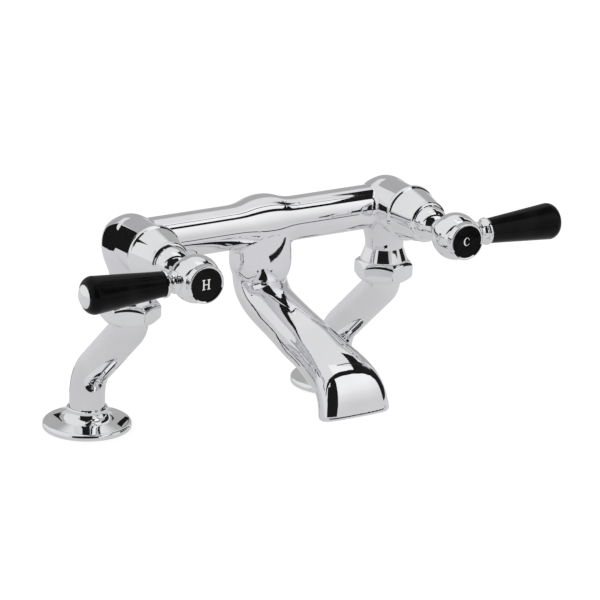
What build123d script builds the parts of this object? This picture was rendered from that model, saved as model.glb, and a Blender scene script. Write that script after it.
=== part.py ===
"""Deck-mounted bath filler tap with two quarter-turn valves, a fixed spout and two cranked legs.

The origin is on the deck, midway between the two tap holes. +Z is up, the bath lies towards -Y,
and the hot side is at -X. Sizes are millimetres.
"""

import os
from math import cos, radians, sin, sqrt

from build123d import *

os.makedirs("parts", exist_ok=True)

# Driving dimensions of the whole tap
hole_spacing = 180
crank = 56
deck_thickness = 20
bar_height = 136.5
valve_height = 138.4
half_spacing = hole_spacing / 2
union_y = -crank
sides = {"hot": -1, "cold": 1}
running_gap = 0.05

# Cross tube, T branch and valve bodies of the casting
bar_radius = 13.75
swell_radius = 18
swell_half_length = 23
branch_radius = 19.3
branch_foot_radius = 16.9
branch_top_radius = 17.5
branch_shoulder_height = 114
branch_foot_height = 103.5
branch_bulge = 0.35
neck_radius = 12
neck_height = 109
body_radius = 17.8
body_top = 154.2
body_widest_height = 138.2
boss_radius = 15.6
boss_length = 27
flare_radius = 14.8
flare_height = 101.2
flare_rim = 0.8
tail_radius = 12.9
tail_bottom = 93.5
branch_fillet = 3.5
body_fillet = 5
boss_fillet = 3
waterway_radius = 9.5
waterway_length = 152
inlet_radius = 7.5
inlet_top = 144.5
outlet_width = 7
outlet_height = 11
outlet_angle = 39
outlet_reach = 12

# Unions and cranked legs
nut_bottom = 87.7
nut_top = 100.4
nut_flats = 32.6
nut_chamfer = 1.4
nut_chamfer_width = 2.5
nut_lip = 2.5
nut_bore = 11.8
nut_turn = {"hot": 28.7, "cold": 17.8}
pipe_radius = 11.2
pipe_bore = 8.75
pipe_top = 92
upper_bend_height = 83
lower_bend_height = 33.7
upper_bend_radius = 11.9
lower_bend_radius = 30
retainer_groove = 10.6
retainer_thickness = 1
union_ring_radius = 12.4

# Deck fittings: the threaded tail is 3/4 inch BSP
thread_radius = 13.2
thread_hole = 13.25
thread_length = 52
relief_start = 34
relief_end = 35.5
relief_depth = 0.8
seat_radius = 15
seat_thickness = 3
gasket_thickness = 1
flange_radius = 28
flange_edge = 3.8
flange_height = 13.4
flange_recess = 4.4
flange_rim_height = 2
flange_rim_inset = 2.2
flange_cove_start = 6
flange_cove_start_radius = 17.2
flange_cove_end = 11
collar_edge = 0.5
collar_radius = 12.8
cover_bore = 11.4
rubber_thickness = 3
clamp_thickness = 1.5
clamp_radius = 20
backnut_thickness = 9
backnut_flats = 36

# Spout, with its spigot in the T branch
spigot_radius = 13.2
spigot_bore = 10
spigot_top = 116
spigot_root = 2.5
lip_rounding = 3
round_fullness = 0.5523

# Valve, measured forwards from the union axis
seat_depth = 10
chamber_radius = 10.5
port_radius = 5.5
seat_washer_thickness = 2
fixed_disc_start = seat_depth + seat_washer_thickness
disc_thickness = 3
moving_disc_start = fixed_disc_start + disc_thickness + running_gap
disc_radius = 8.4
disc_window_centre = 4.3
disc_window_width = 4
disc_window_spread = 20
moving_disc_radius = 8.3
cartridge_radius = 9.4
cartridge_bore = 8.45
cartridge_flange_radius = 10.4
cartridge_shoulder = 22
cartridge_front = 48
barrel_radius = 8
side_window_forward = 1.9
side_window_length = 3
side_window_height = 10
hex_flats = 22
hex_length = 3
spindle_radius = 4.5
spindle_bore = 4.55
spindle_end = 77.9
foot_width = 5
foot_length = 4
notch_width = 4
tang_width = 3.8
tang_depth = 1.2
tang_length = 1.4
notch_depth = 1.5
seal_start = 31
seal_length = 2
seal_depth = 1.1
clip_start = 48.1
clip_thickness = 1
clip_groove_radius = 3.8
clip_radius = 6.5
clip_gap = 6
screw_hole_start = 66

# Bonnet: a rounded rim, a tapered skirt over the cartridge's hexagon, and a domed nose
rim_radius = 17
rim_crest_radius = 17.7
rim_front = 30.6
skirt_start_radius = 16.4
skirt_end = 48
skirt_end_radius = 13.1
skirt_bore = 14.2
skirt_thread_start = 43
nose_start = 50.8
nose_start_radius = 10.9
nose_middle = 56.6
nose_middle_radius = 9.3
nose_bore = 4.7
bonnet_front = 60.7
bonnet_front_radius = 5.4

# Hub and index, measured forwards from the union axis
hub_forward = 80
hub_radius = 14.5
hub_face = 88.6
hub_neck_start = 61
hub_neck_radius = 5.3
hub_bead = 64.6
hub_bead_radius = 7
hub_bead_start = 62.6
web_thickness = 2
screw_radius = 2
screw_end = 68
screw_head_radius = 4.2
screw_head_length = 3.2
screw_head_room = 4.5
screw_socket_flats = 3
screw_socket_depth = 2
index_recess_radius = 9.6
index_recess_depth = 2.6
index_spigot_radius = 9.55
index_spigot_start = 86.2
index_bore = 8.2
index_radius = 10.1
index_rim_radius = 11.6
index_lip = 93.2
index_lip_radius = 10.8
index_back = 90.4
index_front = 92.4

# Lever, measured outwards from the valve axis
grip_start = 21.6
grip_end = 72.4
grip_inner_radius = 7.5
grip_outer_radius = 11.25
grip_shoulder = 66.5
grip_end_radius = 8
button_radius = 7
button_edge = 0.5
button_end = 75.6
rod_radius = 3
rod_hole = 3.05
rod_start = 8
rod_end = 74
ferrule_foot = 13.4
ferrule_foot_radius = 6.3
ferrule_bead_end = 15.7
ferrule_bead_radius = 7
ferrule_waist = 17.8
ferrule_waist_radius = 6.1
ferrule_collar = 20.1
ferrule_collar_radius = 7.9
ferrule_lip = 22.4
ferrule_lip_radius = 8.2


def lengthwise(origin, axis_direction, radial_direction):
    """A plane whose x runs along a turned piece and whose y is its radius."""
    across = Vector(*axis_direction).cross(Vector(*radial_direction))
    return Plane(origin=origin, x_dir=axis_direction, z_dir=across)


def valve_plane(side):
    return lengthwise((side * half_spacing, union_y, valve_height), (0, -1, 0), (0, 0, 1))


def lever_plane(side):
    return lengthwise((side * half_spacing, union_y - hub_forward, valve_height), (side, 0, 0), (0, 0, 1))


def union_plane(side):
    return lengthwise((side * half_spacing, union_y, 0), (0, 0, 1), (1, 0, 0))


def tail_plane(side):
    return lengthwise((side * half_spacing, 0, 0), (0, 0, 1), (1, 0, 0))


def turn_outline(plane, corners, mode=Mode.ADD):
    """Revolve straight-sided (along, radius) corners about the plane's x axis."""
    with BuildSketch(plane) as outline:
        with BuildLine():
            Polyline(*corners, close=True)
        make_face()
    revolve(outline.sketch, axis=Axis(plane.origin, plane.x_dir), mode=mode)


def ring(plane, start, end, inner, outer, mode=Mode.ADD):
    """A plain turned ring or washer, or a round hole when it is subtracted."""
    turn_outline(plane, [(start, inner), (end, inner), (end, outer), (start, outer)], mode)


def hexagon(height, centre, flats, turn=0):
    """A hexagon across the union or tail axis, drawn at a height and turned about it."""
    with BuildSketch(Plane(origin=(centre[0], centre[1], height))) as outline:
        RegularPolygon(flats / 2, 6, major_radius=False, rotation=turn)
    return outline.sketch


def spout_station(top, bottom, width, fullness, wall, hollow=False):
    """A section of the spout, or of its bore, between two (forward, height) points of its side view."""
    inset = wall if hollow else 0
    middle = (0, union_y - (top[0] + bottom[0]) / 2, (top[1] + bottom[1]) / 2)
    rise = Vector(0, bottom[0] - top[0], top[1] - bottom[1])
    right = Vector(width / 2 - inset, 0)
    upper = Vector(0, rise.length / 2 - inset)
    corners = [right, upper, -right, -upper]
    with BuildSketch(lengthwise(middle, (1, 0, 0), rise)) as station:
        with BuildLine():
            for start, end in zip(corners, corners[1:] + corners[:1]):
                Bezier(start, start + end * fullness, end + start * fullness, end)
        make_face()
    return station.sketch


# Body casting: one brass casting with its waterways cored through
with BuildPart() as body_casting:
    bar_plane = lengthwise((0, union_y, bar_height), (1, 0, 0), (0, 0, 1))
    with BuildSketch(bar_plane):
        with BuildLine():
            Polyline((-swell_half_length, bar_radius), (-half_spacing, bar_radius), (-half_spacing, 0))
            Line((-half_spacing, 0), (half_spacing, 0))
            Polyline((half_spacing, 0), (half_spacing, bar_radius), (swell_half_length, bar_radius))
            for end in (-1, 1):
                TangentArc(
                    (end * swell_half_length, bar_radius),
                    (end * swell_half_length / 2, (bar_radius + swell_radius) / 2),
                    tangent=(-end, 0),
                )
            ThreePointArc(
                (-swell_half_length / 2, (bar_radius + swell_radius) / 2),
                (0, swell_radius),
                (swell_half_length / 2, (bar_radius + swell_radius) / 2),
            )
        make_face()
    revolve(axis=Axis(bar_plane.origin, bar_plane.x_dir))

    branch_plane = lengthwise((0, union_y, 0), (0, 0, 1), (1, 0, 0))
    with BuildSketch(branch_plane):
        with BuildLine():
            Polyline(
                (branch_foot_height, branch_foot_radius),
                (branch_foot_height, 0),
                (bar_height, 0),
                (bar_height, branch_top_radius),
            )
            bulge_radius = (branch_top_radius + branch_radius) / 2 + branch_bulge
            front = ThreePointArc(
                (bar_height, branch_top_radius),
                ((bar_height + branch_shoulder_height) / 2, bulge_radius),
                (branch_shoulder_height, branch_radius),
            )
            TangentArc(
                (branch_shoulder_height, branch_radius),
                (branch_foot_height, branch_foot_radius),
                tangent=front % 1,
            )
        make_face()
    revolve(axis=Axis(branch_plane.origin, branch_plane.x_dir))
    fillet(body_casting.edges(Select.NEW), branch_fillet)

    for side in sides.values():
        end_plane = union_plane(side)
        with BuildSketch(end_plane):
            with BuildLine():
                Polyline(
                    (body_top, 0),
                    (tail_bottom, 0),
                    (tail_bottom, tail_radius),
                    (flare_height - flare_rim, tail_radius),
                    (flare_height - flare_rim, flare_radius),
                    (flare_height, flare_radius),
                    (neck_height, neck_radius),
                )
                Spline(
                    (neck_height, neck_radius),
                    (120.5, 14),
                    (130, 17.2),
                    (body_widest_height, body_radius),
                    (147.5, 14.7),
                    (152.8, 7.2),
                    (body_top, 0),
                    tangents=[(1, 0), (0, -1)],
                )
            make_face()
        revolve(axis=Axis(end_plane.origin, end_plane.x_dir))
        fillet(body_casting.edges(Select.NEW), body_fillet)
        ring(valve_plane(side), 0, boss_length, 0, boss_radius)
        fillet(body_casting.edges(Select.NEW), boss_fillet)

    # Waterways: the cross bore, the spout socket, and at each end the inlet, port, chamber and outlet
    ring(bar_plane, -waterway_length / 2, waterway_length / 2, 0, waterway_radius, Mode.SUBTRACT)
    ring(branch_plane, branch_foot_height, bar_height, 0, spigot_bore, Mode.SUBTRACT)
    socket_top = spigot_top + gasket_thickness + 0.5
    ring(branch_plane, branch_foot_height, socket_top, 0, spigot_radius + running_gap, Mode.SUBTRACT)
    for side in sides.values():
        ring(union_plane(side), tail_bottom, inlet_top, 0, inlet_radius, Mode.SUBTRACT)
        ring(valve_plane(side), 0, seat_depth, 0, port_radius, Mode.SUBTRACT)
        ring(valve_plane(side), seat_depth, boss_length, 0, chamber_radius, Mode.SUBTRACT)
        outlet = Plane(
            origin=(side * (half_spacing - chamber_radius), union_y - fixed_disc_start, bar_height),
            x_dir=(0, 0, 1),
            z_dir=(-side * cos(radians(outlet_angle)), sin(radians(outlet_angle)), 0),
        )
        with BuildSketch(outlet):
            SlotOverall(outlet_height, outlet_width)
        extrude(amount=outlet_reach, mode=Mode.SUBTRACT)

body_casting.part.label = "body_casting"
export_step(body_casting.part, "parts/body_casting.step")

# Spout: a hollow casting with a round neck, which widens to a flat mouth that turns down
spout_stations = [
    dict(top=(16.9, 103.5), bottom=(-16.9, 103.5), width=33.8, fullness=round_fullness, wall=6.5),
    dict(top=(17.4, 103.1), bottom=(-13.6, 90.4), width=33.2, fullness=round_fullness, wall=5.5),
    dict(top=(18.3, 102.8), bottom=(-5.2, 81.3), width=32.6, fullness=round_fullness, wall=4.2),
    dict(top=(20.8, 102.1), bottom=(14.2, 72.7), width=31.2, fullness=round_fullness, wall=3),
    dict(top=(42.2, 97.5), bottom=(35.8, 67.3), width=30.8, fullness=round_fullness, wall=3),
    dict(top=(64.5, 93), bottom=(58.1, 62.6), width=32.5, fullness=0.57, wall=3),
    dict(top=(78.6, 89.2), bottom=(72.4, 60.4), width=34, fullness=0.6, wall=3),
    dict(top=(96.3, 83.8), bottom=(88.9, 57.8), width=38, fullness=0.66, wall=3),
    dict(top=(111.3, 75.9), bottom=(98, 57.2), width=41.6, fullness=0.72, wall=3.2),
    dict(top=(120.2, 62.8), bottom=(103.4, 53.5), width=44.7, fullness=0.76, wall=3.8),
    dict(top=(123, 51.2), bottom=(106.6, 46.9), width=47, fullness=0.78, wall=4.4),
]
with BuildPart() as spout:
    loft([spout_station(**station) for station in spout_stations])
    loft([spout_station(**station, hollow=True) for station in spout_stations], mode=Mode.SUBTRACT)
    ring(branch_plane, branch_foot_height - spigot_root, spigot_top, spigot_bore, spigot_radius)
    mouth = spout.faces().filter_by(GeomType.PLANE).sort_by(Axis.Z)[0]
    fillet(mouth.outer_wire().edges(), lip_rounding)
spout.part.label = "spout"
export_step(spout.part, "parts/spout.step")

with BuildPart() as spout_washer:
    ring(branch_plane, spigot_top, socket_top, spigot_bore, spigot_radius)
spout_washer.part.label = "spout_washer"
export_step(spout_washer.part, "parts/spout_washer.step")


def disc_windows(plane, start):
    """Cut the two opposite windows that pass water through a ceramic disc."""
    with BuildSketch(plane.offset(start)) as windows:
        for turn in (0, 180):
            with Locations(Location((0, 0), turn)):
                arc = CenterArc((0, 0), disc_window_centre, -disc_window_spread / 2, disc_window_spread)
                SlotArc(arc, disc_window_width)
    extrude(windows.sketch, amount=disc_thickness, mode=Mode.SUBTRACT)


# Valve cartridges: the fixed parts of each quarter-turn valve
for name, side in sides.items():
    axis_plane = valve_plane(side)
    face_plane = Plane(origin=axis_plane.origin, x_dir=(1, 0, 0), z_dir=(0, -1, 0))

    with BuildPart() as seat_washer:
        ring(axis_plane, seat_depth, fixed_disc_start, port_radius, disc_radius)
    seat_washer.part.label = f"{name}_seat_washer"
    export_step(seat_washer.part, f"parts/{name}_seat_washer.step")

    with BuildPart() as fixed_disc:
        ring(axis_plane, fixed_disc_start, fixed_disc_start + disc_thickness, 0, disc_radius)
        disc_windows(face_plane, fixed_disc_start)
    fixed_disc.part.label = f"{name}_fixed_disc"
    export_step(fixed_disc.part, f"parts/{name}_fixed_disc.step")

    with BuildPart() as cartridge_body:
        ring(axis_plane, fixed_disc_start, cartridge_shoulder, 0, cartridge_radius)
        ring(axis_plane, cartridge_shoulder, boss_length, 0, cartridge_flange_radius)
        ring(axis_plane, boss_length, cartridge_front, 0, barrel_radius)
        with BuildSketch(face_plane.offset(boss_length)):
            RegularPolygon(hex_flats / 2, 6, major_radius=False)
        extrude(amount=hex_length)
        ring(axis_plane, fixed_disc_start, cartridge_shoulder, 0, cartridge_bore, Mode.SUBTRACT)
        ring(axis_plane, cartridge_shoulder, cartridge_front, 0, spindle_bore, Mode.SUBTRACT)
        # Side windows let the water out of the cartridge into the chamber
        window_middle = moving_disc_start + disc_thickness + side_window_forward
        with BuildSketch(face_plane.offset(window_middle)):
            Rectangle(2 * chamber_radius, side_window_height)
        extrude(amount=side_window_length / 2, both=True, mode=Mode.SUBTRACT)
    cartridge_body.part.label = f"{name}_cartridge_body"
    export_step(cartridge_body.part, f"parts/{name}_cartridge_body.step")

    # Bonnet: a turned shell that screws on the cartridge barrel and hides its hexagon
    with BuildPart() as bonnet:
        with BuildSketch(axis_plane) as outline:
            with BuildLine():
                Polyline(
                    (boss_length, rim_radius),
                    (boss_length, skirt_bore),
                    (rim_front, skirt_bore),
                    (skirt_thread_start, skirt_end_radius - 1.9),
                    (skirt_thread_start, barrel_radius + running_gap),
                    (clip_start + clip_thickness + 0.2, barrel_radius + running_gap),
                    (clip_start + clip_thickness + 0.2, nose_bore),
                    (bonnet_front, nose_bore),
                    (bonnet_front, bonnet_front_radius),
                )
                ThreePointArc(
                    (bonnet_front, bonnet_front_radius),
                    (nose_middle, nose_middle_radius),
                    (nose_start, nose_start_radius),
                )
                Line((nose_start, nose_start_radius), (nose_start - 0.4, nose_start_radius + 0.4))
                ThreePointArc(
                    (nose_start - 0.4, nose_start_radius + 0.4),
                    (skirt_end + 1.7, skirt_end_radius - 0.6),
                    (skirt_end, skirt_end_radius),
                )
                Polyline(
                    (skirt_end, skirt_end_radius),
                    (rim_front + 0.6, skirt_start_radius),
                    (rim_front, rim_radius - 0.1),
                )
                ThreePointArc(
                    (rim_front, rim_radius - 0.1),
                    ((boss_length + rim_front) / 2, rim_crest_radius),
                    (boss_length, rim_radius),
                )
            make_face()
        revolve(outline.sketch, axis=Axis(axis_plane.origin, axis_plane.x_dir))
    bonnet.part.label = f"{name}_bonnet"
    export_step(bonnet.part, f"parts/{name}_bonnet.step")

# Turning parts of each valve, from the moving disc to the front of the hub
for name, side in sides.items():
    axis_plane = valve_plane(side)
    face_plane = Plane(origin=axis_plane.origin, x_dir=(1, 0, 0), z_dir=(0, -1, 0))
    foot_start = moving_disc_start + disc_thickness

    with BuildPart() as moving_disc:
        ring(axis_plane, moving_disc_start, foot_start, 0, moving_disc_radius)
        disc_windows(face_plane, moving_disc_start)
        with BuildSketch(face_plane.offset(foot_start)) as notches:
            with Locations((0, moving_disc_radius), (0, -moving_disc_radius)):
                Rectangle(notch_width, 2 * tang_depth)
        extrude(notches.sketch, amount=-notch_depth, mode=Mode.SUBTRACT)
    moving_disc.part.label = f"{name}_moving_disc"
    export_step(moving_disc.part, f"parts/{name}_moving_disc.step")

    with BuildPart() as spindle:
        ring(axis_plane, foot_start, cartridge_shoulder - 0.1, 0, moving_disc_radius)
        with BuildSketch(face_plane.offset(foot_start)) as flats:
            with Locations((moving_disc_radius, 0), (-moving_disc_radius, 0)):
                Rectangle(2 * moving_disc_radius - foot_width, 2 * moving_disc_radius)
        extrude(flats.sketch, amount=foot_length, mode=Mode.SUBTRACT)
        ring(axis_plane, foot_start, spindle_end, 0, spindle_radius)
        with BuildSketch(face_plane.offset(foot_start)) as tangs:
            with Locations((0, moving_disc_radius - tang_depth / 2), (0, tang_depth / 2 - moving_disc_radius)):
                Rectangle(tang_width, tang_depth - 0.3)
        extrude(tangs.sketch, amount=-tang_length)
        seal_root = spindle_radius - seal_depth
        ring(axis_plane, seal_start, seal_start + seal_length, seal_root, spindle_radius, Mode.SUBTRACT)
        clip_end = clip_start + clip_thickness
        ring(axis_plane, clip_start, clip_end, clip_groove_radius, spindle_radius, Mode.SUBTRACT)
        ring(axis_plane, screw_hole_start, spindle_end, 0, screw_radius, Mode.SUBTRACT)
    spindle.part.label = f"{name}_spindle"
    export_step(spindle.part, f"parts/{name}_spindle.step")

    with BuildPart() as spindle_seal:
        ring(axis_plane, seal_start + 0.1, seal_start + seal_length - 0.1, seal_root, spindle_bore - 0.02)
    spindle_seal.part.label = f"{name}_spindle_seal"
    export_step(spindle_seal.part, f"parts/{name}_spindle_seal.step")

    with BuildPart() as spindle_clip:
        ring(axis_plane, clip_start, clip_end, clip_groove_radius, clip_radius)
        with BuildSketch(face_plane.offset(clip_start)) as gap:
            with Locations((0, -clip_radius)):
                Rectangle(clip_gap, 2 * clip_radius)
        extrude(gap.sketch, amount=clip_thickness, mode=Mode.SUBTRACT)
    spindle_clip.part.label = f"{name}_spindle_clip"
    export_step(spindle_clip.part, f"parts/{name}_spindle_clip.step")

    with BuildPart() as hub:
        face_radius = sqrt(hub_radius**2 - (hub_face - hub_forward) ** 2)
        ball_back = hub_forward - sqrt(hub_radius**2 - hub_neck_radius**2)
        with BuildSketch(axis_plane):
            with BuildLine():
                ThreePointArc((hub_face, face_radius), (hub_forward, hub_radius), (ball_back, hub_neck_radius))
                ThreePointArc(
                    (ball_back, hub_neck_radius),
                    (hub_bead, hub_bead_radius),
                    (hub_bead_start, hub_neck_radius),
                )
                Polyline(
                    (hub_bead_start, hub_neck_radius),
                    (hub_neck_start, hub_neck_radius),
                    (hub_neck_start, 0),
                    (hub_face, 0),
                    (hub_face, face_radius),
                )
            make_face()
        revolve(axis=Axis(axis_plane.origin, axis_plane.x_dir))
        web_start = hub_forward - web_thickness
        ring(axis_plane, hub_neck_start, web_start, 0, spindle_bore, Mode.SUBTRACT)
        ring(axis_plane, web_start, hub_forward, 0, screw_radius + 0.1, Mode.SUBTRACT)
        ring(axis_plane, hub_forward, hub_face, 0, screw_head_room, Mode.SUBTRACT)
        ring(axis_plane, hub_face - index_recess_depth, hub_face, 0, index_recess_radius, Mode.SUBTRACT)
        ring(lever_plane(side), rod_start - 0.1, hub_radius, 0, rod_hole, Mode.SUBTRACT)
    hub.part.label = f"{name}_hub"
    export_step(hub.part, f"parts/{name}_hub.step")

    with BuildPart() as hub_screw:
        head_top = hub_forward + screw_head_length
        ring(axis_plane, hub_forward, head_top, 0, screw_head_radius)
        ring(axis_plane, screw_end, hub_forward, 0, screw_radius)
        with BuildSketch(face_plane.offset(head_top)) as socket:
            RegularPolygon(screw_socket_flats / 2, 6, major_radius=False)
        extrude(socket.sketch, amount=-screw_socket_depth, mode=Mode.SUBTRACT)
    hub_screw.part.label = f"{name}_hub_screw"
    export_step(hub_screw.part, f"parts/{name}_hub_screw.step")

    with BuildPart() as index_ring:
        with BuildSketch(axis_plane) as outline:
            with BuildLine():
                Polyline(
                    (index_lip, index_lip_radius),
                    (index_lip - 0.4, index_radius + running_gap),
                    (index_back, index_radius + running_gap),
                    (index_back, index_bore),
                    (index_spigot_start, index_bore),
                    (index_spigot_start, index_spigot_radius),
                    (hub_face, index_spigot_radius),
                    (hub_face, index_rim_radius),
                    (index_front, index_rim_radius),
                )
                ThreePointArc(
                    (index_front, index_rim_radius),
                    (index_lip - 0.2, index_rim_radius - 0.2),
                    (index_lip, index_lip_radius),
                )
            make_face()
        revolve(outline.sketch, axis=Axis(axis_plane.origin, axis_plane.x_dir))
    index_ring.part.label = f"{name}_index_ring"
    export_step(index_ring.part, f"parts/{name}_index_ring.step")

    with BuildPart() as index_disc:
        ring(axis_plane, index_back, index_front, 0, index_radius)
    index_disc.part.label = f"{name}_index_disc"
    export_step(index_disc.part, f"parts/{name}_index_disc.step")


def ball_point(radius):
    """The point of the ball hub's outline at a radius from the lever axis."""
    return (sqrt(hub_radius**2 - radius**2), radius)


# Levers: ferrule, grip and end button held on the hub by one threaded rod
for name, side in sides.items():
    axis_plane = lever_plane(side)
    lever_axis = Axis(axis_plane.origin, axis_plane.x_dir)

    with BuildPart() as lever_ferrule:
        with BuildSketch(axis_plane) as outline:
            with BuildLine():
                Line((ferrule_foot, ferrule_foot_radius), ball_point(ferrule_foot_radius))
                ThreePointArc(ball_point(ferrule_foot_radius), ball_point(4.8), ball_point(rod_hole))
                Polyline(
                    ball_point(rod_hole),
                    (grip_start, rod_hole),
                    (grip_start, grip_inner_radius + 0.1),
                    (ferrule_lip, grip_inner_radius + 0.1),
                    (ferrule_lip, ferrule_lip_radius),
                )
                ThreePointArc(
                    (ferrule_lip, ferrule_lip_radius),
                    ((ferrule_lip + ferrule_collar) / 2, ferrule_lip_radius + 0.25),
                    (ferrule_collar, ferrule_collar_radius),
                )
                ThreePointArc(
                    (ferrule_collar, ferrule_collar_radius),
                    (ferrule_waist, ferrule_waist_radius),
                    (ferrule_bead_end, ferrule_foot_radius),
                )
                ThreePointArc(
                    (ferrule_bead_end, ferrule_foot_radius),
                    ((ferrule_bead_end + ferrule_foot) / 2, ferrule_bead_radius),
                    (ferrule_foot, ferrule_foot_radius),
                )
            make_face()
        revolve(outline.sketch, axis=lever_axis)
    lever_ferrule.part.label = f"{name}_lever_ferrule"
    export_step(lever_ferrule.part, f"parts/{name}_lever_ferrule.step")

    with BuildPart() as lever_grip:
        with BuildSketch(axis_plane) as outline:
            with BuildLine():
                side_line = Line((grip_start, grip_inner_radius), (grip_shoulder, grip_outer_radius))
                TangentArc(
                    (grip_shoulder, grip_outer_radius),
                    (grip_end, grip_end_radius),
                    tangent=side_line % 1,
                )
                Polyline(
                    (grip_end, grip_end_radius),
                    (grip_end, rod_hole),
                    (grip_start, rod_hole),
                    (grip_start, grip_inner_radius),
                )
            make_face()
        revolve(outline.sketch, axis=lever_axis)
    lever_grip.part.label = f"{name}_lever_grip"
    export_step(lever_grip.part, f"parts/{name}_lever_grip.step")

    with BuildPart() as lever_end_button:
        with BuildSketch(axis_plane) as outline:
            with BuildLine():
                Polyline(
                    (button_end, 0),
                    (rod_end + 0.1, 0),
                    (rod_end + 0.1, rod_hole),
                    (grip_end, rod_hole),
                    (grip_end, button_radius),
                    (grip_end + button_edge, button_radius),
                )
                TangentArc((button_end, 0), (grip_end + button_edge, button_radius), tangent=(0, 1))
            make_face()
        revolve(outline.sketch, axis=lever_axis)
    lever_end_button.part.label = f"{name}_lever_end_button"
    export_step(lever_end_button.part, f"parts/{name}_lever_end_button.step")

    with BuildPart() as lever_rod:
        ring(axis_plane, rod_start, rod_end, 0, rod_radius)
    lever_rod.part.label = f"{name}_lever_rod"
    export_step(lever_rod.part, f"parts/{name}_lever_rod.step")

# Unions: hexagon nuts on the valve tails, with a washer above each leg
for name, side in sides.items():
    axis_plane = union_plane(side)

    with BuildPart() as union_nut:
        centre = (side * half_spacing, union_y)
        extrude(hexagon(nut_bottom, centre, nut_flats, nut_turn[name]), amount=nut_top - nut_bottom)
        turn_outline(
            axis_plane,
            [
                (nut_bottom, 0),
                (nut_bottom, nut_flats / 2),
                (nut_bottom + nut_chamfer, nut_flats / 2 + nut_chamfer_width),
                (nut_top - nut_chamfer, nut_flats / 2 + nut_chamfer_width),
                (nut_top, nut_flats / 2),
                (nut_top, 0),
            ],
            Mode.INTERSECT,
        )
        ring(axis_plane, nut_bottom, nut_top, 0, nut_bore, Mode.SUBTRACT)
        ring(axis_plane, nut_bottom + nut_lip, nut_top, 0, tail_radius + running_gap, Mode.SUBTRACT)
    union_nut.part.label = f"{name}_union_nut"
    export_step(union_nut.part, f"parts/{name}_union_nut.step")

    with BuildPart() as union_washer:
        ring(axis_plane, pipe_top + running_gap, tail_bottom, pipe_bore, union_ring_radius)
    union_washer.part.label = f"{name}_union_washer"
    export_step(union_washer.part, f"parts/{name}_union_washer.step")

# Legs: bent tubes that swivel in the unions, with threaded tails through the deck
for name, side in sides.items():
    axis_plane = union_plane(side)
    leg_x = side * half_spacing
    retainer_start = nut_bottom + nut_lip + running_gap
    retainer_end = retainer_start + retainer_thickness

    with BuildPart() as leg_pipe:
        with BuildLine() as route:
            FilletPolyline(
                (leg_x, union_y, pipe_top),
                (leg_x, union_y, upper_bend_height),
                (leg_x, 0, lower_bend_height),
                (leg_x, 0, -thread_length),
                radius=(upper_bend_radius, lower_bend_radius),
            )
        top_plane = Plane(origin=(leg_x, union_y, pipe_top), z_dir=(0, 0, -1))
        with BuildSketch(top_plane) as outer:
            Circle(pipe_radius)
        sweep(outer.sketch, path=route.line)
        ring(tail_plane(side), gasket_thickness, gasket_thickness + seat_thickness, 0, seat_radius)
        ring(tail_plane(side), -thread_length, gasket_thickness, 0, thread_radius)
        relief_radius = thread_radius - relief_depth
        ring(tail_plane(side), -relief_end, -relief_start, relief_radius, thread_radius, Mode.SUBTRACT)
        with BuildSketch(top_plane) as bore:
            Circle(pipe_bore)
        sweep(bore.sketch, path=route.line, mode=Mode.SUBTRACT)
        ring(axis_plane, retainer_start, retainer_end, retainer_groove, pipe_radius, Mode.SUBTRACT)
    leg_pipe.part.label = f"{name}_leg_pipe"
    export_step(leg_pipe.part, f"parts/{name}_leg_pipe.step")

    with BuildPart() as retaining_ring:
        ring(axis_plane, retainer_start, retainer_end, retainer_groove, union_ring_radius)
    retaining_ring.part.label = f"{name}_retaining_ring"
    export_step(retaining_ring.part, f"parts/{name}_retaining_ring.step")

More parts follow.
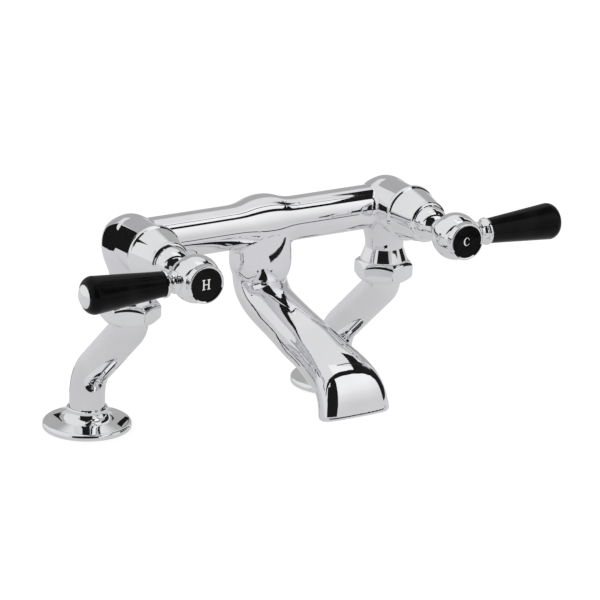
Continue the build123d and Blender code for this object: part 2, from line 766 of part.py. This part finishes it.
# Deck fittings: the loose cover flange and gasket above, and the clamping parts below
for name, side in sides.items():
    axis_plane = tail_plane(side)

    with BuildPart() as deck_flange:
        with BuildSketch(axis_plane) as outline:
            with BuildLine():
                rim_inner = (flange_edge + 0.2, flange_radius - flange_rim_inset)
                Polyline(
                    (flange_height, collar_radius - collar_edge),
                    (flange_height, cover_bore),
                    (flange_recess, cover_bore),
                    (flange_recess, seat_radius + 0.4),
                    (0, seat_radius + 0.4),
                    (0, flange_radius - 0.2),
                    (flange_rim_height, flange_radius),
                )
                ThreePointArc((flange_rim_height, flange_radius), (3.3, flange_radius - 0.6), rim_inner)
                Line(rim_inner, (flange_cove_start, flange_cove_start_radius))
                ThreePointArc(
                    (flange_cove_start, flange_cove_start_radius),
                    (flange_cove_start + 2, collar_radius + 1.5),
                    (flange_cove_end, collar_radius),
                )
                Polyline(
                    (flange_cove_end, collar_radius),
                    (flange_height - collar_edge, collar_radius),
                    (flange_height, collar_radius - collar_edge),
                )
            make_face()
        revolve(outline.sketch, axis=Axis(axis_plane.origin, axis_plane.x_dir))
    deck_flange.part.label = f"{name}_deck_flange"
    export_step(deck_flange.part, f"parts/{name}_deck_flange.step")

    with BuildPart() as deck_gasket:
        ring(axis_plane, 0, gasket_thickness, thread_radius + 0.1, seat_radius)
    deck_gasket.part.label = f"{name}_deck_gasket"
    export_step(deck_gasket.part, f"parts/{name}_deck_gasket.step")

    clamp_top = -deck_thickness - rubber_thickness
    with BuildPart() as rubber_washer:
        ring(axis_plane, clamp_top, -deck_thickness, thread_hole, clamp_radius)
    rubber_washer.part.label = f"{name}_rubber_washer"
    export_step(rubber_washer.part, f"parts/{name}_rubber_washer.step")

    nut_face = clamp_top - clamp_thickness
    with BuildPart() as clamp_washer:
        ring(axis_plane, nut_face, clamp_top, thread_hole, clamp_radius)
    clamp_washer.part.label = f"{name}_clamp_washer"
    export_step(clamp_washer.part, f"parts/{name}_clamp_washer.step")

    with BuildPart() as backnut:
        centre = (side * half_spacing, 0)
        extrude(hexagon(nut_face - backnut_thickness, centre, backnut_flats), amount=backnut_thickness)
        ring(axis_plane, nut_face - backnut_thickness, nut_face, 0, thread_hole, Mode.SUBTRACT)
    backnut.part.label = f"{name}_backnut"
    export_step(backnut.part, f"parts/{name}_backnut.step")
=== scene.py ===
from math import cos, pi, radians, sin

import bmesh
import bpy
from mathutils import Matrix, Vector


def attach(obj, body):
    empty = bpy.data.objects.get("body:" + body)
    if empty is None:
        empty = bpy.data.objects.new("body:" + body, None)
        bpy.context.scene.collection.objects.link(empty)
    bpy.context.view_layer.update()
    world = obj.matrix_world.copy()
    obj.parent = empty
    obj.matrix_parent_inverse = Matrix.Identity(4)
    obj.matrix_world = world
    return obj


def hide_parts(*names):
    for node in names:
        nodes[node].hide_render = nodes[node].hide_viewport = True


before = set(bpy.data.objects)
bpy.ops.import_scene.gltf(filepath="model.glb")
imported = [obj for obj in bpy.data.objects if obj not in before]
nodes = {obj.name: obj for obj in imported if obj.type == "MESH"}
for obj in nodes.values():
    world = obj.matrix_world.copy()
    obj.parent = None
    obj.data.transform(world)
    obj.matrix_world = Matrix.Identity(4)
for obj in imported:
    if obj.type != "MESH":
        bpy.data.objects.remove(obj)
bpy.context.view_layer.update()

# The camera stands in front of the tap, to the left and a little above it, at the photograph's angle.
# Its long lens keeps the two valves nearly the same size, and the picture leans by a degree and a half.
look_at = Vector((0.0173, -0.076, 0.090))
camera_azimuth = radians(-31.15)
camera_elevation = radians(19.07)
camera_lean = radians(1.53)
camera_distance = 2.137
sensor_width = 36.0
picture_side = 600
focal_pixels = 3477

towards_camera = Vector((
    sin(camera_azimuth) * cos(camera_elevation),
    -cos(camera_azimuth) * cos(camera_elevation),
    sin(camera_elevation),
))
camera_data = bpy.data.cameras.new("camera")
camera_data.sensor_width = sensor_width
camera_data.lens = sensor_width * focal_pixels / picture_side
camera_data.clip_start = 0.05
camera_data.clip_end = 50.0
camera = bpy.data.objects.new("camera", camera_data)
bpy.context.scene.collection.objects.link(camera)
camera.rotation_mode = "QUATERNION"
upright = (-towards_camera).to_track_quat("-Z", "Y").to_matrix()
camera.rotation_quaternion = (upright @ Matrix.Rotation(camera_lean, 3, "Z")).to_quaternion()
camera.location = look_at + towards_camera * camera_distance
bpy.context.scene.camera = camera
bpy.context.scene.view_settings.view_transform = "Standard"

# The studio round the tap is white paper, and polished chrome shows all of it. A black cloth hangs on the
# camera's side, a wide softbox stands in front to the right under a black rail, and black edges close it off.
world = bpy.data.worlds.new("studio")
bpy.context.scene.world = world
world.use_nodes = True
air = world.node_tree
air.nodes.clear()
rays = air.nodes.new("ShaderNodeTexCoord").outputs["Generated"]
upwards = Vector((0, 0, 1))
soft_edge = 0.03


def heading(azimuth, elevation):
    """A direction from the tap: azimuth 0 is towards the front, 90 is to the right."""
    a, e = radians(azimuth), radians(elevation)
    return Vector((sin(a) * cos(e), -cos(a) * cos(e), sin(e)))


def beyond(direction, start=0.0, fade=soft_edge):
    """1 where a ray leans towards the direction by more than start, 0 short of it, with a soft edge."""
    lean = air.nodes.new("ShaderNodeVectorMath")
    lean.operation = "DOT_PRODUCT"
    lean.inputs[1].default_value = direction
    air.links.new(rays, lean.inputs[0])
    edge = air.nodes.new("ShaderNodeMapRange")
    edge.interpolation_type = "SMOOTHSTEP"
    edge.inputs["From Min"].default_value = start - fade / 2
    edge.inputs["From Max"].default_value = start + fade / 2
    air.links.new(lean.outputs["Value"], edge.inputs["Value"])
    return edge.outputs["Result"]


def overlap(*masks):
    """The masks multiplied together."""
    result = masks[0]
    for mask in masks[1:]:
        product = air.nodes.new("ShaderNodeMath")
        product.operation = "MULTIPLY"
        air.links.new(result, product.inputs[0])
        air.links.new(mask, product.inputs[1])
        result = product.outputs["Value"]
    return result


def hang(behind, mask, brightness):
    """A panel of one brightness, hung in front of what is behind it."""
    panel = air.nodes.new("ShaderNodeMix")
    panel.data_type = "FLOAT"
    air.links.new(mask, panel.inputs["Factor"])
    if isinstance(behind, float):
        panel.inputs["A"].default_value = behind
    else:
        air.links.new(behind, panel.inputs["A"])
    panel.inputs["B"].default_value = brightness
    return panel.outputs["Result"]


def between(left, right):
    """A mask over the sector from one azimuth to the other, less than half a turn apart."""
    return overlap(beyond(heading(left + 90, 0)), beyond(heading(right - 90, 0)))


def below(elevation, fade=soft_edge):
    """A mask over all that is lower than this elevation."""
    return beyond(-upwards, -sin(radians(elevation)), fade)


grey_side = overlap(between(115, 188), below(40, 0.12))
right_edge = overlap(between(60, 108), below(58))
softbox = overlap(beyond(heading(94, 0)), beyond(heading(-26, 14)))
softbox_middle = overlap(softbox, beyond(upwards, 0.35, 0.75))
cloth = overlap(between(-66, 3), beyond(heading(-25, -33)))
room = 0.80
for mask, brightness in (
        (grey_side, 0.43), (right_edge, 0.015), (softbox, 0.66), (softbox_middle, 0.98), (cloth, 0.012)):
    room = hang(room, mask, brightness)

plain_white = air.nodes.new("ShaderNodeBackground")
plain_white.inputs["Strength"].default_value = 1.0
plain_white.inputs["Color"].default_value = (1, 1, 1, 1)
seen_in_chrome = air.nodes.new("ShaderNodeBackground")
air.links.new(room, seen_in_chrome.inputs["Color"])
which_ray = air.nodes.new("ShaderNodeLightPath")
choose = air.nodes.new("ShaderNodeMixShader")
air.links.new(which_ray.outputs["Is Glossy Ray"], choose.inputs["Fac"])
air.links.new(plain_white.outputs[0], choose.inputs[1])
air.links.new(seen_in_chrome.outputs[0], choose.inputs[2])
sky = air.nodes.new("ShaderNodeOutputWorld")
air.links.new(choose.outputs[0], sky.inputs["Surface"])

# The table is white paper. It stands in for the bath's deck, and lies a hair below the flanges so that no two
# faces share a plane. It stays nearly white to the camera. The chrome shows it light grey close by and brighter
# further off: the darker grey round the tap is painted shade, the tap's shadow painted into the table's colour.
table_side = 6.0
table_drop = 0.0003
shaded_near_tone, far_tone = (0.60, 0.60, 0.60, 1), (0.67, 0.67, 0.68, 1)
table_mesh = bpy.data.meshes.new("table")
table_shape = bmesh.new()
bmesh.ops.create_grid(table_shape, x_segments=1, y_segments=1, size=table_side / 2)
table_shape.to_mesh(table_mesh)
table_shape.free()
table = bpy.data.objects.new("table", table_mesh)
table.location.z = -table_drop
bpy.context.scene.collection.objects.link(table)
paper = bpy.data.materials.new("white_paper")
paper.use_nodes = True
paper_nodes = paper.node_tree.nodes
paper_links = paper.node_tree.links
paper_nodes.clear()
spot = paper_nodes.new("ShaderNodeTexCoord")
reach = paper_nodes.new("ShaderNodeVectorMath")
reach.operation = "LENGTH"
paper_links.new(spot.outputs["Object"], reach.inputs[0])
# Painted shade: the table's colour in the chrome is darker grey near the tap and lighter further off.
painted_shade_ramp = paper_nodes.new("ShaderNodeValToRGB")
painted_shade_ramp.color_ramp.elements[0].position = 0.05
painted_shade_ramp.color_ramp.elements[0].color = shaded_near_tone
painted_shade_ramp.color_ramp.elements[1].position = 0.30
painted_shade_ramp.color_ramp.elements[1].color = far_tone
paper_links.new(reach.outputs["Value"], painted_shade_ramp.inputs["Fac"])
chrome_view_with_painted_shade = paper_nodes.new("ShaderNodeEmission")
paper_links.new(painted_shade_ramp.outputs["Color"], chrome_view_with_painted_shade.inputs["Color"])
lit = paper_nodes.new("ShaderNodeEmission")
lit.inputs["Color"].default_value = (1, 1, 1, 1)
lit.inputs["Strength"].default_value = 0.80
matt = paper_nodes.new("ShaderNodeBsdfDiffuse")
matt.inputs["Color"].default_value = (0.25, 0.25, 0.25, 1)
seen = paper_nodes.new("ShaderNodeAddShader")
paper_links.new(lit.outputs[0], seen.inputs[0])
paper_links.new(matt.outputs[0], seen.inputs[1])
table_ray = paper_nodes.new("ShaderNodeLightPath")
pick = paper_nodes.new("ShaderNodeMixShader")
paper_links.new(table_ray.outputs["Is Glossy Ray"], pick.inputs["Fac"])
paper_links.new(seen.outputs[0], pick.inputs[1])
paper_links.new(chrome_view_with_painted_shade.outputs[0], pick.inputs[2])
paper_out = paper_nodes.new("ShaderNodeOutputMaterial")
paper_links.new(pick.outputs[0], paper_out.inputs["Surface"])
table_mesh.materials.append(paper)


# Flat black cards near the tap put the thin dark lines into its chrome: the frame of the lightbox over the bath
# side, a fold of the cloth, a gap before the table, and small flags round the hot valve, its flange and the spout.
def card(name, corners, brightness):
    """A flat card with these four corners, seen in the chrome and nowhere else."""
    mesh = bpy.data.meshes.new(name)
    mesh.from_pydata(corners, [], [(0, 1, 2, 3)])
    sheet = bpy.data.objects.new(name, mesh)
    bpy.context.scene.collection.objects.link(sheet)
    paint = bpy.data.materials.new(name)
    paint.use_nodes = True
    paint.node_tree.nodes.clear()
    glow = paint.node_tree.nodes.new("ShaderNodeEmission")
    glow.inputs["Color"].default_value = (brightness, brightness, brightness, 1)
    out = paint.node_tree.nodes.new("ShaderNodeOutputMaterial")
    paint.node_tree.links.new(glow.outputs[0], out.inputs["Surface"])
    mesh.materials.append(paint)
    sheet.visible_camera = False
    sheet.visible_diffuse = False
    sheet.visible_transmission = False
    sheet.visible_shadow = False


def strip(left, right, lower, upper):
    """Corners of a card that runs along the tap. Each of its long edges is given as (forward, height)."""
    return [(left, *lower), (right, *lower), (right, *upper), (left, *upper)]


card("frame_front", strip(-1.2, 1.2, (-0.325, 0.537), (-0.243, 0.580)), 0.012)
card("frame_back", strip(0.13, 1.2, (-0.118, 0.558), (-0.098, 0.558)), 0.05)
card("frame_right", strip(0.30, 0.45, (-0.284, 0.558), (0.10, 0.558)), 0.012)
card("cloth_fold", strip(-0.112, -0.008, (-0.26, 0.17), (-0.26, 0.38)), 0.012)
card("gap_front", strip(0.14, 0.80, (-0.49, 0.001), (-0.61, 0.001)), 0.012)
card("lip_line", [
    (-0.040, -0.202, 0.020), (0.060, -0.202, 0.022), (0.060, -0.202, 0.044), (-0.040, -0.202, 0.042)], 0.008)


def fence(name, middle, radius, azimuths, low, high):
    """Upright black cards, edge to edge on an arc round a point, from low to high above it."""
    arc = [Vector(middle) + radius * heading(azimuth, 0) for azimuth in azimuths]
    for left, right in zip(arc, arc[1:]):
        card(name, [
            left + low * upwards, right + low * upwards, right + high * upwards, left + high * upwards], 0.010)


fence("flag", (-0.100, -0.056, 0.138), 0.030, range(-168, -68, 4), -0.010, 0.047)
fence("collar_flag", (-0.090, 0, 0), 0.040, (-179, -169), 0.010, 0.030)
fence("collar_flag", (-0.090, 0, 0), 0.040, (103, 109), 0.010, 0.030)

spout_side = [Vector(point) for point in (
    (-0.0330, -0.053, 0.096), (-0.0265, -0.069, 0.081), (-0.0260, -0.086, 0.077),
    (-0.0200, -0.100, 0.065), (-0.0215, -0.118, 0.064))]
half_width = 0.0010 * Vector((0.69, 0.35, -0.62))
for start, stop in zip(spout_side, spout_side[1:]):
    card("spout_flag", [start - half_width, stop - half_width, stop + half_width, start + half_width], 0.015)

# The body is cast brass: a cross tube with a swelling, a branch for the spout and a rounded valve body at each
# end. It is ground and buffed by hand, then nickel and chromium plated, so its mirror has soft waves in it, and
# the front of the swelling is flatter than a turned one. The finish takes most of the slope out of it.
def finish(name, light, dark, gloss, patch, metallic=0.0):
    """A surface whose colour and gloss drift between two values over patches of this size."""
    material = bpy.data.materials.new(name)
    material.use_nodes = True
    tree = material.node_tree
    shader = tree.nodes["Principled BSDF"]
    shader.inputs["Metallic"].default_value = metallic
    place = tree.nodes.new("ShaderNodeTexCoord")
    cloud = tree.nodes.new("ShaderNodeTexNoise")
    cloud.inputs["Scale"].default_value = 1 / patch
    cloud.inputs["Detail"].default_value = 4
    tree.links.new(place.outputs["Object"], cloud.inputs["Vector"])
    drift = tree.nodes.new("ShaderNodeValToRGB")
    drift.color_ramp.elements[0].position = 0.38
    drift.color_ramp.elements[0].color = (*dark, 1)
    drift.color_ramp.elements[1].position = 0.62
    drift.color_ramp.elements[1].color = (*light, 1)
    tree.links.new(cloud.outputs["Fac"], drift.inputs["Fac"])
    tree.links.new(drift.outputs["Color"], shader.inputs["Base Color"])
    sheen = tree.nodes.new("ShaderNodeMapRange")
    sheen.inputs["From Min"].default_value = 0.3
    sheen.inputs["From Max"].default_value = 0.7
    sheen.inputs["To Min"].default_value = gloss[0]
    sheen.inputs["To Max"].default_value = gloss[1]
    tree.links.new(cloud.outputs["Fac"], sheen.inputs["Value"])
    tree.links.new(sheen.outputs["Result"], shader.inputs["Roughness"])
    return material


def waves(material, size, depth, detail=0.0, stretch=(1, 1, 1)):
    """Adds shallow unevenness to a finish: lumps of this size and depth, in metres."""
    tree = material.node_tree
    shader = tree.nodes["Principled BSDF"]
    place = tree.nodes.new("ShaderNodeTexCoord")
    pull = tree.nodes.new("ShaderNodeMapping")
    pull.inputs["Scale"].default_value = stretch
    tree.links.new(place.outputs["Object"], pull.inputs["Vector"])
    lumps = tree.nodes.new("ShaderNodeTexNoise")
    lumps.inputs["Scale"].default_value = 1 / size
    lumps.inputs["Detail"].default_value = detail
    tree.links.new(pull.outputs["Vector"], lumps.inputs["Vector"])
    relief = tree.nodes.new("ShaderNodeBump")
    relief.inputs["Strength"].default_value = 1.0
    relief.inputs["Distance"].default_value = depth
    tree.links.new(lumps.outputs["Fac"], relief.inputs["Height"])
    if shader.inputs["Normal"].is_linked:
        tree.links.new(shader.inputs["Normal"].links[0].from_socket, relief.inputs["Normal"])
    tree.links.new(relief.outputs["Normal"], shader.inputs["Normal"])


def coat(names, material):
    """Gives the CAD pieces this finish."""
    for name in names:
        mesh = nodes[name].data
        mesh.materials.clear()
        mesh.materials.append(material)


def both(piece):
    """The hot side's piece and the cold side's."""
    return ["hot_" + piece, "cold_" + piece]


plate_light, plate_dark = (0.915, 0.915, 0.935), (0.865, 0.868, 0.892)
cast_gloss = (0.012, 0.04)
plate_patch = 0.030
polish_size, polish_depth = 0.0009, 0.0000006
cast_chrome = finish("cast_chrome", plate_light, plate_dark, cast_gloss, plate_patch, metallic=1.0)
waves(cast_chrome, 0.016, 0.00008)
waves(cast_chrome, polish_size, polish_depth, detail=2.0)
flatten = cast_chrome.node_tree


def step(operation, first, second=0.0):
    """One step of arithmetic in the casting's finish."""
    sum_node = flatten.nodes.new("ShaderNodeMath")
    sum_node.operation = operation
    for socket, value in zip(sum_node.inputs, (first, second)):
        if isinstance(value, float):
            socket.default_value = value
        else:
            flatten.links.new(value, socket)
    return sum_node.outputs["Value"]


swell_half_length = 0.023
swell_height = 0.00425
flattened_part = 0.85
along = flatten.nodes.new("ShaderNodeSeparateXYZ")
flatten.links.new(flatten.nodes["Texture Coordinate"].outputs["Object"], along.inputs[0])
from_middle = step("DIVIDE", step("ABSOLUTE", along.outputs["X"]), swell_half_length)
nearness = step("MAXIMUM", step("SUBTRACT", 1.0, from_middle))
crown = step("MAXIMUM", step("SUBTRACT", nearness, 0.5))
rise = step("MULTIPLY", step("MULTIPLY", nearness, nearness), 2.0)
rounding = step("MULTIPLY", step("MULTIPLY", crown, crown), 4.0)
swell = step("SUBTRACT", rise, rounding)
hollow = flatten.nodes.new("ShaderNodeBump")
hollow.inputs["Strength"].default_value = 1.0
hollow.inputs["Distance"].default_value = swell_height * flattened_part
hollow.invert = True
flatten.links.new(swell, hollow.inputs["Height"])
cast_shader = flatten.nodes["Principled BSDF"]
flatten.links.new(cast_shader.inputs["Normal"].links[0].from_socket, hollow.inputs["Normal"])
flatten.links.new(hollow.outputs["Normal"], cast_shader.inputs["Normal"])
coat(["body_casting"], cast_chrome)

# The spout is a separate casting, screwed up into the branch on a fibre washer. It turns forward into a wide
# flattened mouth. It is harder to buff than the tube, so its plate shows longer and stronger waves.
spout_chrome = finish("spout_chrome", plate_light, plate_dark, cast_gloss, plate_patch, metallic=1.0)
waves(spout_chrome, 0.013, 0.00022, stretch=(1.0, 0.45, 0.6))
waves(spout_chrome, 0.0055, 0.00015, stretch=(1.0, 0.16, 0.16))
waves(spout_chrome, polish_size, polish_depth, detail=2.0)
coat(["spout"], spout_chrome)

# The washers under the spout and in the unions are red fibre, punched from sheet. Water darkens them in patches.
fibre = finish("fibre_washer", (0.24, 0.055, 0.030), (0.12, 0.026, 0.016), (0.55, 0.8), 0.002)
waves(fibre, 0.0004, 0.00006, detail=3.0)
coat(["spout_washer"] + both("union_washer"), fibre)

# Each valve is a quarter-turn cartridge. Its body and spindle are turned brass, left bare inside the tap, with
# fine tool marks round them. Handling leaves the brass a little brown.
brass = finish("bare_brass", (0.78, 0.57, 0.24), (0.62, 0.42, 0.17), (0.18, 0.34), 0.006, metallic=1.0)
waves(brass, 0.0006, 0.00003, stretch=(0.02, 1, 1))
coat(both("cartridge_body") + both("spindle"), brass)

# Two ceramic discs in each valve shut off the water: one stands still and the other turns with the spindle.
# They are white alumina, fired and lapped flat, with a faint grain.
ceramic = finish("ceramic", (0.78, 0.765, 0.72), (0.70, 0.685, 0.64), (0.12, 0.22), 0.003)
waves(ceramic, 0.0002, 0.000004, detail=2.0)
coat(both("fixed_disc") + both("moving_disc"), ceramic)

# A seat washer seals each cartridge in the casting, and a ring seals each spindle. They are black rubber,
# moulded, with a matt bloom.
rubber = finish("black_rubber", (0.024, 0.024, 0.025), (0.012, 0.012, 0.013), (0.55, 0.8), 0.003)
waves(rubber, 0.0003, 0.00002, detail=2.0)
coat(both("seat_washer") + both("spindle_seal"), rubber)

# A spring clip holds each spindle in its cartridge and a screw holds the hub on the spindle. Both are stainless
# steel, brushed rather than polished.
steel = finish("stainless_steel", (0.60, 0.59, 0.57), (0.46, 0.455, 0.44), (0.22, 0.36), 0.004, metallic=1.0)
waves(steel, 0.0004, 0.00001, stretch=(1, 0.05, 1))
coat(both("spindle_clip") + both("hub_screw"), steel)

# The bonnets and the ball hubs are turned brass, buffed while they spin and plated. The lathe keeps them truer
# than the castings, so their mirror is cleaner.
turned_chrome = finish(
    "turned_chrome", (0.92, 0.925, 0.935), (0.88, 0.885, 0.90), (0.010, 0.03), 0.020, metallic=1.0)
waves(turned_chrome, 0.008, 0.00002)
coat(both("bonnet") + both("hub"), turned_chrome)

# The index is a plated ring pressed into the front of the hub. It holds a disc of black enamel, poured and
# polished flat.
coat(both("index_ring"), turned_chrome)
enamel = finish("black_enamel", (0.004, 0.004, 0.004), (0.002, 0.002, 0.002), (0.10, 0.22), 0.004)
enamel.node_tree.nodes["Principled BSDF"].inputs["Specular IOR Level"].default_value = 0.12
waves(enamel, 0.0015, 0.000006)
coat(both("index_disc"), enamel)

# A plain H on the hot side and a plain C on the cold side are raised in white enamel on the discs. They are
# generic marks, drawn here with a thick and a thin stroke and small feet.
mark_face = -0.1484
mark_rise = 0.00012
mark_edge = 0.00004
disc_side, disc_height = 0.090, 0.1384
white_enamel = finish("white_enamel", (0.80, 0.80, 0.78), (0.68, 0.68, 0.66), (0.2, 0.35), 0.0015)
waves(white_enamel, 0.0005, 0.000004)


def make(name, shape, material):
    """Turns a finished shape into an object with this finish."""
    bmesh.ops.recalc_face_normals(shape, faces=shape.faces)
    mesh = bpy.data.meshes.new(name)
    shape.to_mesh(mesh)
    shape.free()
    mesh.materials.append(material)
    piece = bpy.data.objects.new(name, mesh)
    bpy.context.scene.collection.objects.link(piece)
    return piece


def raise_mark(name, side, outline, body):
    """Fills an outline given in metres round the disc's centre, and raises it from the disc."""
    shape = bmesh.new()
    front = shape.faces.new(
        [shape.verts.new((side * disc_side + x, mark_face, disc_height + z)) for x, z in outline])
    shape.normal_update()
    raised = bmesh.ops.extrude_face_region(shape, geom=[front])
    lifted = [part for part in raised["geom"] if isinstance(part, bmesh.types.BMVert)]
    bmesh.ops.translate(shape, verts=lifted, vec=(0, -mark_rise, 0))
    mark = make(name, shape, white_enamel)
    soften = mark.modifiers.new("soft_edge", "BEVEL")
    soften.width = mark_edge
    soften.segments = 2
    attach(mark, body)


half_height = 0.0031
stem_left, stem, foot, foot_reach, half_bar = -0.0021, 0.00088, 0.00042, 0.00055, 0.00025
stem_right = stem_left + stem
stem_end = half_height - 1.5 * foot
upper_left = [
    (stem_left, stem_end), (stem_left - foot_reach, half_height - foot), (stem_left - foot_reach, half_height),
    (stem_right + foot_reach, half_height), (stem_right + foot_reach, half_height - foot),
    (stem_right, stem_end), (stem_right, half_bar)]
h_outline = (
    upper_left + [(-x, z) for x, z in reversed(upper_left)]
    + [(-x, -z) for x, z in upper_left] + [(x, -z) for x, z in reversed(upper_left)])
raise_mark("hot_mark", -1, h_outline, "hot_lever")

c_half_width, c_half_height = 0.0021, 0.0026
c_inner_half_width, c_inner_half_height, c_inner_shift = 0.00145, 0.0023, 0.00022
c_outline = [
    (c_half_width * cos(radians(a)), c_half_height * sin(radians(a))) for a in range(42, 319, 6)]
c_outline += [(0.00185, -0.00105), (0.00150, -0.00150)]
c_outline += [
    (c_inner_shift + c_inner_half_width * cos(radians(a)), c_inner_half_height * sin(radians(a)))
    for a in range(308, 51, -6)]
c_outline += [(0.00150, 0.00150), (0.00160, 0.00085), (0.00195, 0.00085)]
raise_mark("cold_mark", 1, c_outline, "cold_lever")

# Each lever is a threaded steel rod in the hub, which clamps a plated ferrule, a black grip and a plated button.
# The grip is moulded in black plastic and polished, with a soft gloss and the odd rubbed place.
coat(both("lever_rod"), steel)
coat(both("lever_ferrule") + both("lever_end_button"), turned_chrome)
grip = finish("black_grip", (0.0045, 0.0045, 0.0045), (0.002, 0.002, 0.002), (0.18, 0.30), 0.012)
grip.node_tree.nodes["Principled BSDF"].inputs["Specular IOR Level"].default_value = 0.10
waves(grip, 0.004, 0.00001)
waves(grip, 0.0004, 0.0000015, detail=2.0)
coat(both("lever_grip"), grip)

# A hexagon union nut on each tail pulls the leg up against a fibre washer. The nut is brass, chamfered on both
# faces, and buffing has rounded its edges before plating.
union_side, union_forward = 0.090, -0.056
nut_low, nut_high = 0.0877, 0.1004
nut_hole, nut_bore, nut_seat, nut_floor = 0.0118, 0.01295, 0.0130, 0.0025
nut_half_flats = 0.0163
nut_corner, nut_corner_blend = 0.0187, 0.0006
nut_bevel_start, nut_bevel_slope, nut_bevel_blend = 0.0152, 0.58, 0.0044
nut_levels = 40
nut_columns = 240


def nearer(a, b, blend):
    """The smaller of two radii, with the corner between them rounded off."""
    h = max(blend - abs(a - b), 0.0) / blend
    return min(a, b) - h * h * h * blend / 6


def union_nut(name, side, turn, replaced):
    """A chamfered hexagon nut, made as rings of points from its hole round its outside and back up its bore."""
    middle = Vector((side * union_side, union_forward, 0))
    rings = [[(nut_hole, nut_low)] * nut_columns, [(nut_seat, nut_low)] * nut_columns]
    for level in range(nut_levels + 1):
        height = nut_low + (nut_high - nut_low) * level / nut_levels
        bevel = nut_bevel_start + min(height - nut_low, nut_high - height) / nut_bevel_slope
        ring = []
        for i in range(nut_columns):
            across = (2 * pi * i / nut_columns - radians(turn) + pi / 6) % (pi / 3) - pi / 6
            flat = nearer(nut_half_flats / cos(across), nut_corner, nut_corner_blend)
            ring.append((nearer(flat, bevel, nut_bevel_blend), height))
        rings.append(ring)
    for radius, height in (
            (nut_seat, nut_high), (nut_bore, nut_high),
            (nut_bore, nut_low + nut_floor), (nut_hole, nut_low + nut_floor)):
        rings.append([(radius, height)] * nut_columns)
    shape = bmesh.new()
    placed = []
    for ring in rings:
        row = []
        for i, (radius, height) in enumerate(ring):
            a = 2 * pi * i / nut_columns
            row.append(shape.verts.new(middle + Vector((radius * sin(a), -radius * cos(a), height))))
        placed.append(row)
    placed.append(placed[0])
    for lower, upper in zip(placed, placed[1:]):
        for i in range(nut_columns):
            j = (i + 1) % nut_columns
            shape.faces.new((lower[i], lower[j], upper[j], upper[i]))
    nut = make(name, shape, turned_chrome)
    nut.data.shade_smooth()
    crisp = nut.modifiers.new("crisp_edges", "EDGE_SPLIT")
    crisp.split_angle = radians(50)
    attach(nut, "tap")
    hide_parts(replaced)


union_nut("hot_hexagon_nut", -1, 28.7, "hot_union_nut")
union_nut("cold_hexagon_nut", 1, 17.8, "cold_union_nut")
coat(both("retaining_ring"), steel)

# The legs are thick brass tube, bent twice, with a threaded tail below. The bender leaves them slightly uneven
# under the plate.
leg_chrome = finish("leg_chrome", plate_light, plate_dark, (0.02, 0.05), plate_patch, metallic=1.0)
waves(leg_chrome, 0.012, 0.00006)
coat(both("leg_pipe"), leg_chrome)

# Each tail carries a pipe thread, rolled as one ridge that winds round it. It stops short of the flange, and the
# stretch that the washers and the backnut hide is left plain.
tail_side = 0.090
in_deck, below_nut = (-0.0198, -0.0008), (-0.0516, -0.0357)
thread_pitch = 0.001814
thread_root, thread_crest = 0.01315, 0.01342
crest_half, root_half = 0.07, 0.42
steps_per_turn = 48
run_out = 12


def tail_thread(name, side, low, high, body):
    """One ridge wound round a tail between two heights, which fades in and out."""
    steps = int((high - low) / thread_pitch * steps_per_turn)
    shape = bmesh.new()
    rows = []
    for count in range(steps + 1):
        a = 2 * pi * count / steps_per_turn
        middle = low + thread_pitch / 2 + (high - low - thread_pitch) * count / steps
        fade = min(1.0, count / run_out, (steps - count) / run_out)
        crest = thread_root + (thread_crest - thread_root) * fade
        profile = ((thread_root, -root_half), (crest, -crest_half), (crest, crest_half), (thread_root, root_half))
        rows.append([
            shape.verts.new((side * tail_side + radius * sin(a), -radius * cos(a), middle + lift * thread_pitch))
            for radius, lift in profile])
    for before, after in zip(rows, rows[1:]):
        for i in range(4):
            j = (i + 1) % 4
            shape.faces.new((before[i], after[i], after[j], before[j]))
    shape.faces.new(rows[0])
    shape.faces.new(tuple(reversed(rows[-1])))
    thread = make(name, shape, leg_chrome)
    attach(thread, body)


for name, side in (("hot", -1), ("cold", 1)):
    tail_thread(name + "_thread_in_deck", side, *in_deck, name + "_leg")
    tail_thread(name + "_thread_below", side, *below_nut, name + "_leg")

# A brass flange, spun from sheet, buffed and plated, slides down each leg and covers the tap hole. A black rubber
# gasket under it keeps water out of the hole.
coat(both("deck_flange"), turned_chrome)
coat(both("deck_gasket"), rubber)

# Below the deck a rubber washer, a steel clamp washer and a brass backnut are run up the tail, and they clamp the
# tap to the bath.
coat(both("rubber_washer"), rubber)
coat(both("clamp_washer"), steel)
coat(both("backnut"), brass)
